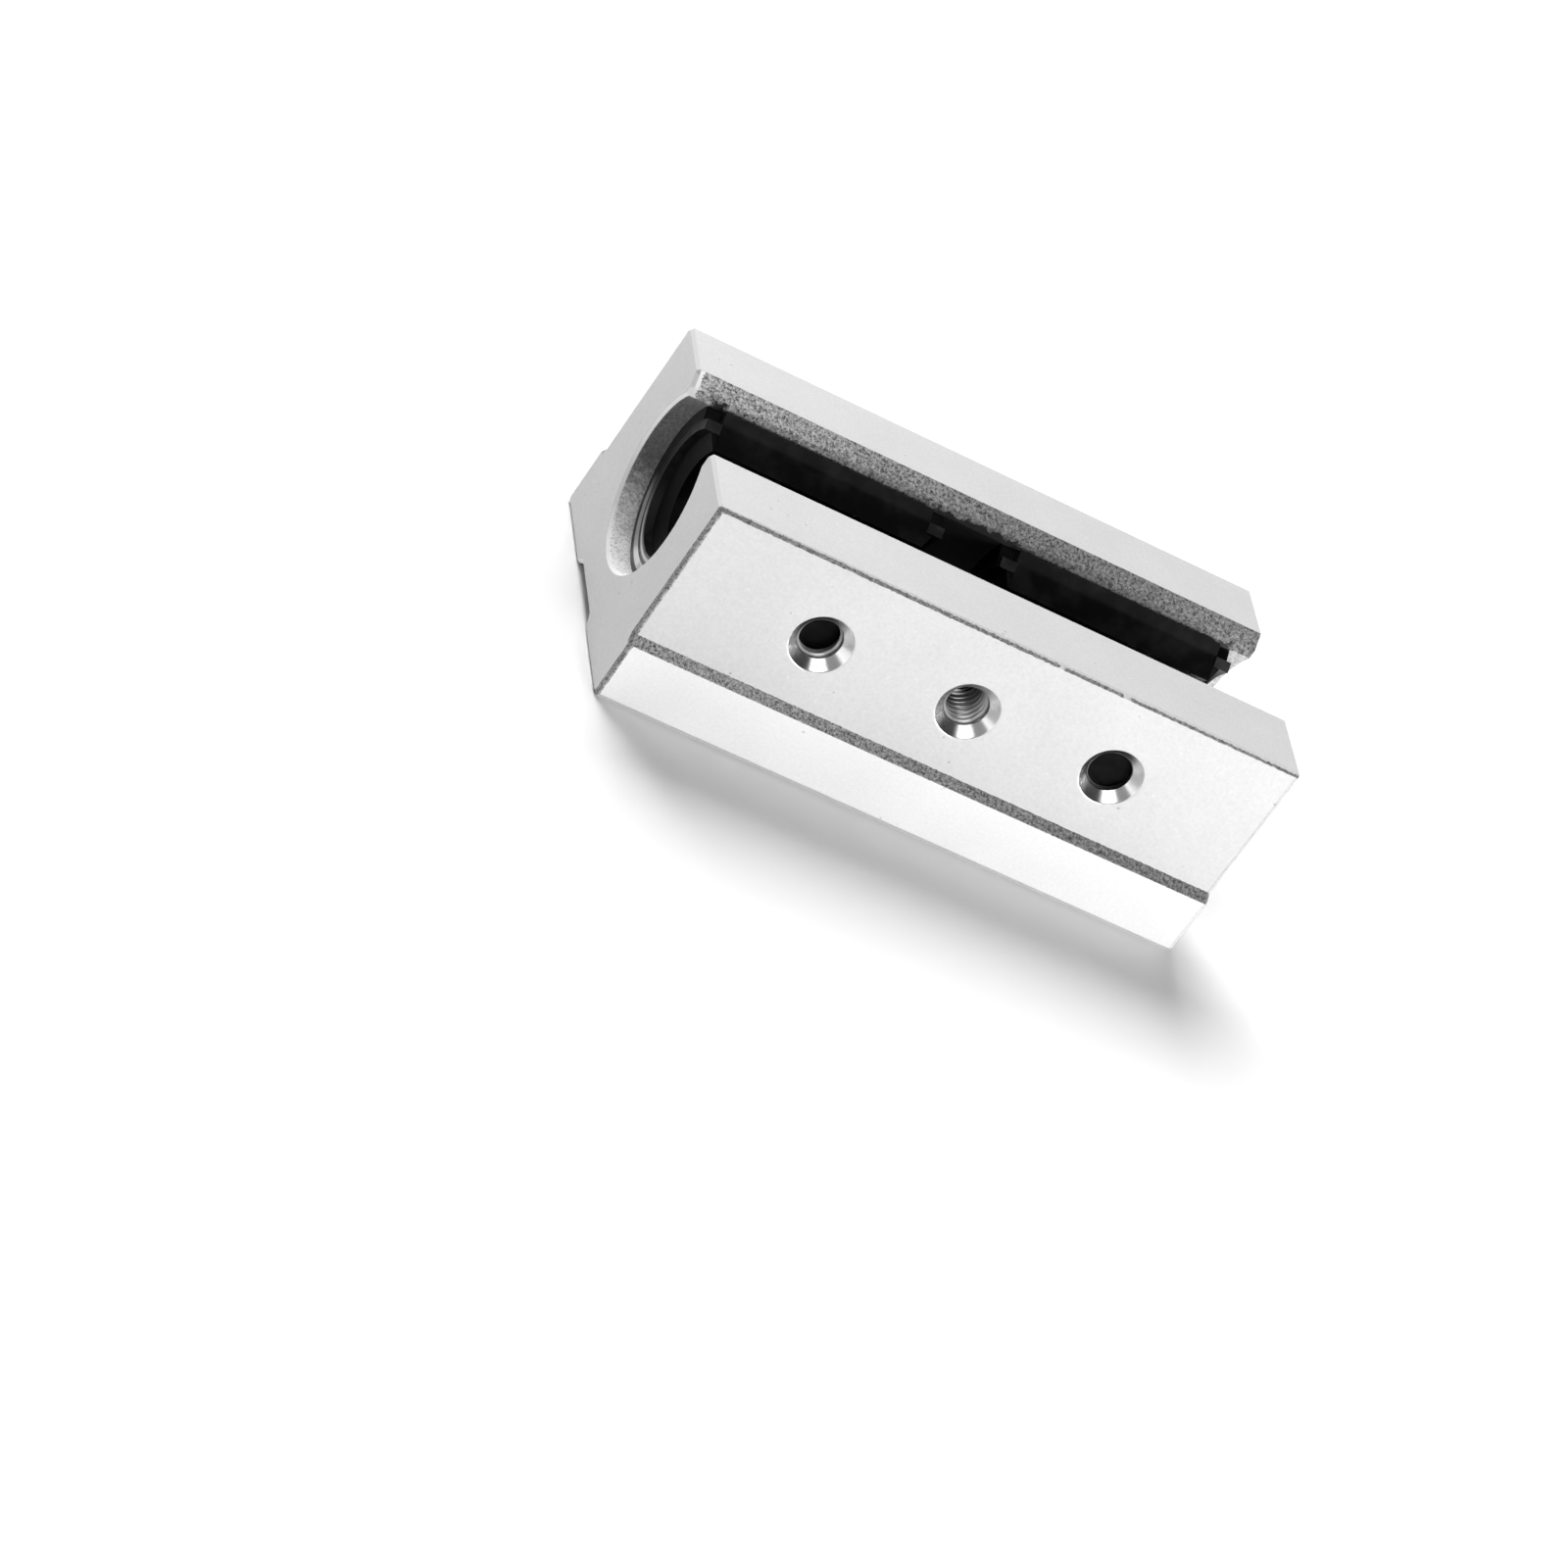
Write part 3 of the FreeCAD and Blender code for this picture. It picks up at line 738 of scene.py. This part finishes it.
def makeThreadMetal():
    # cut aluminium, pale on the ridges' crests, with painted shade at their roots and deep inside
    look, form = threadLook, threadForm
    material, tree, shader = newMaterial("cutThreadAluminium")
    place = objectPosition(tree)
    zones = useGroup(tree, blockZones, {"Position": place})
    bore = useGroup(tree, boreFrame, {"Position": place})
    marks = useGroup(tree, metalSpeckle, {"Position": place})
    crest = spread(tree, zones["Hole Distance"], form["crestRadius"], form["rootRadius"],
                   look["crest"], look["root"])
    paintedDepthShade = spread(tree, bore["Across"], *holeShadow, 1.0, look["depths"])
    shade = calc(tree, "MULTIPLY", calc(tree, "ADD", crest, marks["Shade"]), paintedDepthShade)
    feed(tree, shader.inputs["Base Color"], grey(tree, shade))
    feed(tree, shader.inputs["Roughness"],
         raised(tree, look["rough"], marks["Pits"], look["roughRange"]))
    shader.inputs["Metallic"].default_value = look["metal"]
    feed(tree, shader.inputs["Normal"],
         bump(tree, marks["Height"], look["relief"], look["reliefDepth"]))
    return material


aluminium = makeAluminium()
ballSteel = makePlain("polishedBallSteel", ballLook)
threadMetal = makeThreadMetal()
looks = {
    "aluminium_body": aluminium,
    "black_steel": makePlain("blackenedSteel", screwLook),
    "sleeve_steel": makeSleeveSteel(),
    "cage_plastic": makeCagePlastic(),
    "ring_plastic": makeRingPlastic(),
    "seal_rubber": makePlain("sealRubber", sealLook),
    "ball_steel": ballSteel,
}
slots = {item["node"]: item["material_slot"] for item in frame["record"]["subparts"]}
for name, node in nodes.items():
    for place in node.material_slots:
        place.material = looks[slots[name]]
print("materials assigned")


def meshPiece(name, points, faces, material):
    # points in mm, one row each; faces as lists of point numbers
    mesh = bpy.data.meshes.new(name)
    mesh.from_pydata((points * mm).tolist(), [], faces)
    mesh.polygons.foreach_set("use_smooth", np.ones(len(mesh.polygons), dtype=bool))
    mesh.update()
    mesh.materials.append(material)
    piece = bpy.data.objects.new(name, mesh)
    bpy.context.scene.collection.objects.link(piece)
    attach(piece, "root")
    return piece


def gridPiece(name, points, material, closed=False):
    # points has one row per step of u and one column per step of v; a closed grid joins its
    # last column to its first
    rows, columns = points.shape[:2]
    index = np.arange(rows * columns).reshape(rows, columns)
    if closed:
        index = np.hstack([index, index[:, :1]])
    quads = np.stack([index[:-1, :-1], index[1:, :-1], index[1:, 1:], index[:-1, 1:]], axis=-1)
    return meshPiece(name, points.reshape(-1, 3), quads.reshape(-1, 4).tolist(), material)


ballForm = {
    "radius": 1.384,
    "count": 16,
    "straight": 19.004,
    "turn": 1.999,
    "loadedRadius": 7.389,
    "meanRadius": 7.569,
    "lift": 0.36,
    "liftStart": math.pi / 12,
    "liftLength": math.pi / 6,
    "spread": 95.0,
    "around": 12,
    "down": 7,
}


def trackPlace(travel):
    # a ball runs straight, round a half circle, straight back and round again;
    # lift rises smoothly where the ball leaves the loaded side and falls where it returns
    form = ballForm
    straight, turn = form["straight"], form["turn"]
    begin, length = form["liftStart"], form["liftLength"]
    bend = math.pi * turn
    first = (travel - straight) / turn
    last = (travel - 2 * straight - bend) / turn
    parts = [travel < straight, travel < straight + bend, travel < 2 * straight + bend]
    along = np.select(parts, [
        travel - straight / 2,
        straight / 2 + turn * np.sin(first),
        straight * 1.5 + bend - travel], -straight / 2 - turn * np.sin(last))
    across = np.select(parts, [
        -turn + 0 * travel, -turn * np.cos(first), turn + 0 * travel], turn * np.cos(last))
    rise = np.select(parts, [
        0 * travel, np.clip((first - begin) / length, 0, 1), 1 + 0 * travel],
        np.clip((math.pi - begin - last) / length, 0, 1))
    return along, across, rise * form["lift"]


def unitBall():
    # a sphere of latitude rings between two pole points, with its quads and its two fans
    around, down = ballForm["around"], ballForm["down"]
    turnAngle = 2 * math.pi * np.arange(around) / around
    fall = math.pi * np.arange(1, down) / down
    ring = np.stack([
        np.outer(np.sin(fall), np.cos(turnAngle)),
        np.outer(np.sin(fall), np.sin(turnAngle)),
        np.outer(np.cos(fall), np.ones(around))], axis=-1).reshape(-1, 3)
    points = np.vstack([[0, 0, 1], ring, [0, 0, -1]])
    step = np.arange(around)
    after = (step + 1) % around
    rows = 1 + around * np.arange(down - 2)[:, None]
    sides = np.stack([rows + step, rows + around + step, rows + around + after, rows + after],
                     axis=-1).reshape(-1, 4)
    lastRow = 1 + around * (down - 2)
    top = np.stack([0 * step, 1 + step, 1 + after], axis=-1)
    foot = np.stack([0 * step + len(points) - 1, lastRow + after, lastRow + step], axis=-1)
    return points, (sides, top, foot)


def makeBallCircuit(name, middle, number):
    # the same ball, set along the track at equal steps
    form = ballForm
    loop = 2 * form["straight"] + 2 * math.pi * form["turn"]
    travel = loop * (np.arange(form["count"]) + 0.5) / form["count"]
    along, across, lift = trackPlace(travel)
    angle = np.radians(number * form["spread"]) + across / form["meanRadius"]
    reach = form["loadedRadius"] + lift
    centres = np.stack([
        middle + along, reach * np.sin(angle), blockForm["axisHeight"] - reach * np.cos(angle)],
        axis=-1)
    unit, blocks = unitBall()
    points = (centres[:, None, :] + unit[None, :, :] * form["radius"]).reshape(-1, 3)
    faces = []
    for block in blocks:
        moved = block[None] + (len(unit) * np.arange(form["count"]))[:, None, None]
        faces += moved.reshape(-1, block.shape[1]).tolist()
    return meshPiece(name, points, faces, ballSteel)


for end in ("front", "rear"):
    low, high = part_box(end + "_sleeve")
    middle = (low.x + high.x) / 2 / mm
    for side, number in (("left", -1), ("lower", 0), ("right", 1)):
        circuit = makeBallCircuit("%s_%s_smooth_balls" % (end, side), middle, number)
        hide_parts("%s_%s_balls" % (end, side))
print("ball circuits laid")


def makeThread(name, centreX, inner, outer):
    # one ridge wound as a helix: radius falls from root to crest and back over each pitch,
    # and the ridge fades into the wall at both ends
    form = threadForm
    turns = (inner - outer) / form["pitch"]
    stepsAround = int(round(turns * form["around"]))
    u = np.linspace(0, 1, stepsAround + 1)[:, None]
    v = np.linspace(-0.5, 0.5, form["acrossRidge"] + 1)[None, :]
    angle = u * turns * 2 * math.pi + 0 * v
    fade = np.clip(np.minimum(u, 1 - u) * turns * 2, 0, 1)
    crest = np.clip(form["flat"] - np.abs(v) * form["slope"], 0, 1)
    radius = form["rootRadius"] - (form["rootRadius"] - form["crestRadius"]) * crest * fade
    along = outer + u * (inner - outer) + v * form["pitch"] * form["cover"]
    points = np.stack([
        centreX + radius * np.cos(angle),
        np.clip(along, outer, inner) + 0 * angle,
        blockForm["axisHeight"] + radius * np.sin(angle)], axis=-1)
    return gridPiece(name, points, threadMetal)


sinkForm = {
    "skin": 0.045,
    "rimLap": 0.02,
    "proud": 0.003,
    "around": 72,
    "down": 8,
}


def makeSink(name, centreX):
    # a smooth cone lining laid a hair inside the drilled countersink, straight from rim to
    # throat, whose first row turns over the rim
    form = sinkForm
    face = -blockForm["sideFace"] - form["proud"]
    top = blockForm["sinkRadius"] - 2 * form["skin"]
    radius = np.linspace(top, blockForm["holeRadius"], form["down"] + 1)
    depth = face + top - radius
    radius = np.concatenate([[blockForm["sinkRadius"] + form["rimLap"]], radius])
    depth = np.concatenate([[face], depth])
    angle = -2 * math.pi * np.arange(form["around"]) / form["around"]
    points = np.stack([
        centreX + np.outer(radius, np.cos(angle)),
        np.outer(depth, np.ones(form["around"])),
        blockForm["axisHeight"] + np.outer(radius, np.sin(angle))], axis=-1)
    return gridPiece(name, points, aluminium, closed=True)


for label, spot in (("front", -1), ("middle", 0), ("rear", 1)):
    inner = threadForm["innerFace"]
    if spot:  # the outer holes' threads stop at their set screws
        low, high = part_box(label + "_set_screw")
        inner = low.y / mm - threadForm["screwGap"]
    centreX = spot * blockForm["holePitch"]
    makeThread(label + "_side_thread", centreX, inner, threadForm["outerFace"])
    makeSink(label + "_side_sink", centreX)
print("threads cut")


cameraSetup = {
    "place": (-293.59, -623.984, 341.582),
    "aim": (-9.3, -10.7, -5.7),
    "roll": 36.02,
    "lens": 152.29,
    "sensor": 36.0,
    "nearest": 0.01,
    "farthest": 20.0,
}


def makeCamera():
    setup = cameraSetup
    data = bpy.data.cameras.new("mainCamera")
    data.lens = setup["lens"]
    data.sensor_width = setup["sensor"]
    data.clip_start = setup["nearest"]
    data.clip_end = setup["farthest"]
    camera = bpy.data.objects.new("mainCamera", data)
    bpy.context.scene.collection.objects.link(camera)
    place = Vector(setup["place"]) * mm
    aim = Vector(setup["aim"]) * mm
    turn = (aim - place).to_track_quat("-Z", "Y").to_matrix().to_4x4()
    roll = Matrix.Rotation(math.radians(setup["roll"]), 4, "Z")
    camera.matrix_world = Matrix.Translation(place) @ turn @ roll
    bpy.context.scene.camera = camera
    return camera


stageCentre = Vector((0, 0, 14 * mm))  # what every lamp and card faces
lampSetup = {  # azimuth is measured like a view's, in degrees round the block
    "backLamp": {"azimuth": -166, "elevation": 55, "distance": 850, "size": 460, "power": 9.3},
    "sideLamp": {"azimuth": 38, "elevation": 2, "distance": 540, "size": 300, "power": 4.9},
}
cardSetup = {  # cards that only reflections show: a glow of 0 is a black card
    "brightCard": {"azimuth": -24, "elevation": 51, "distance": 900, "size": 560, "glow": 2.5},
    "rightCard": {"azimuth": 55, "elevation": 42, "distance": 700, "size": 600, "glow": 0.0},
    "leftCard": {"azimuth": -88, "elevation": 38, "distance": 750, "size": 620, "glow": 0.0},
}


def facingBlock(setup):
    # the centre of a lamp or card at its place on the sphere round the block, and its turn
    a, e = math.radians(setup["azimuth"]), math.radians(setup["elevation"])
    away = Vector((math.sin(a) * math.cos(e), -math.cos(a) * math.cos(e), math.sin(e)))
    turn = (-away).to_track_quat("-Z", "Y").to_matrix()
    return stageCentre + away * setup["distance"] * mm, turn


def makeLamp(name, setup):
    data = bpy.data.lights.new(name, "AREA")
    data.shape = "SQUARE"
    data.size = setup["size"] * mm
    data.energy = setup["power"]
    lamp = bpy.data.objects.new(name, data)
    bpy.context.scene.collection.objects.link(lamp)
    centre, turn = facingBlock(setup)
    lamp.matrix_world = Matrix.Translation(centre) @ turn.to_4x4()
    lamp.visible_camera = False
    return lamp


def makeCard(name, setup):
    half = setup["size"] / 2 * mm
    centre, turn = facingBlock(setup)
    corners = [centre + turn @ Vector((x * half, y * half, 0))
               for x, y in ((-1, -1), (1, -1), (1, 1), (-1, 1))]
    mesh = bpy.data.meshes.new(name)
    mesh.from_pydata([tuple(corner) for corner in corners], [], [(0, 1, 2, 3)])
    material, tree, shader = newMaterial(name + "Paper")
    shader.inputs["Base Color"].default_value = (0.01, 0.01, 0.01, 1)
    shader.inputs["Roughness"].default_value = 1.0
    shader.inputs["Emission Color"].default_value = (1, 1, 1, 1)
    shader.inputs["Emission Strength"].default_value = setup["glow"]
    mesh.materials.append(material)
    card = bpy.data.objects.new(name, mesh)
    bpy.context.scene.collection.objects.link(card)
    card.visible_camera = False
    card.visible_shadow = False
    card.visible_diffuse = False
    return card


floorSetup = {
    "reach": 3000.0,
    "shade": 0.86,
    "nearLift": 0.0,
    "farLift": 0.3,
    "near": 45.0,
    "far": 120.0,
}


def makeFloor():
    # pale paper with a painted glow that lifts it to white away from the block, for the camera and
    # for reflections, which leaves it painted darker near the block
    setup = floorSetup
    reach, shade = setup["reach"] * mm, setup["shade"]
    mesh = bpy.data.meshes.new("studioFloor")
    mesh.from_pydata([(-reach, -reach, 0), (reach, -reach, 0), (reach, reach, 0),
                      (-reach, reach, 0)], [], [(0, 1, 2, 3)])
    material, tree, shader = newMaterial("paperFloor")
    shader.inputs["Base Color"].default_value = (shade, shade, shade, 1)
    shader.inputs["Roughness"].default_value = 0.9
    shader.inputs["Specular IOR Level"].default_value = 0.0
    paths = tree.nodes.new("ShaderNodeLightPath").outputs
    seen = calc(tree, "ADD", paths["Is Camera Ray"], paths["Is Glossy Ray"], clamp=True)
    seen = calc(tree, "ADD", seen, paths["Is Transmission Ray"], clamp=True)
    shader.inputs["Emission Color"].default_value = (1, 1, 1, 1)
    away = tree.nodes.new("ShaderNodeVectorMath")
    away.operation = "LENGTH"
    feed(tree, away.inputs[0], objectPosition(tree))
    # the painted glow grows with distance from the block
    lift = spread(tree, away.outputs["Value"], setup["near"] * mm, setup["far"] * mm,
                  setup["nearLift"], setup["farLift"])
    feed(tree, shader.inputs["Emission Strength"], calc(tree, "MULTIPLY", seen, lift))
    mesh.materials.append(material)
    floor = bpy.data.objects.new("studioFloor", mesh)
    bpy.context.scene.collection.objects.link(floor)
    return floor


worldSetup = {
    "fill": 0.15,
    "mirrored": 0.30,
    "seen": 1.0,
}


def makeWorld():
    # white where the camera sees it, a soft fill elsewhere and a little more in reflections
    setup = worldSetup
    world = bpy.data.worlds.new("studioWorld")
    bpy.context.scene.world = world
    world.use_nodes = True
    tree = world.node_tree
    background = tree.nodes["Background"]
    background.inputs["Color"].default_value = (1, 1, 1, 1)
    paths = tree.nodes.new("ShaderNodeLightPath").outputs
    seen = calc(tree, "ADD", paths["Is Camera Ray"], paths["Is Transmission Ray"], clamp=True)
    unseen = blendNumber(tree, paths["Is Glossy Ray"], setup["fill"], setup["mirrored"])
    feed(tree, background.inputs["Strength"], blendNumber(tree, seen, unseen, setup["seen"]))
    return world


makeCamera()
for name, setup in lampSetup.items():
    makeLamp(name, setup)
for name, setup in cardSetup.items():
    makeCard(name, setup)
makeFloor()
makeWorld()
bpy.context.scene.view_settings.view_transform = "Standard"
print("stage set")
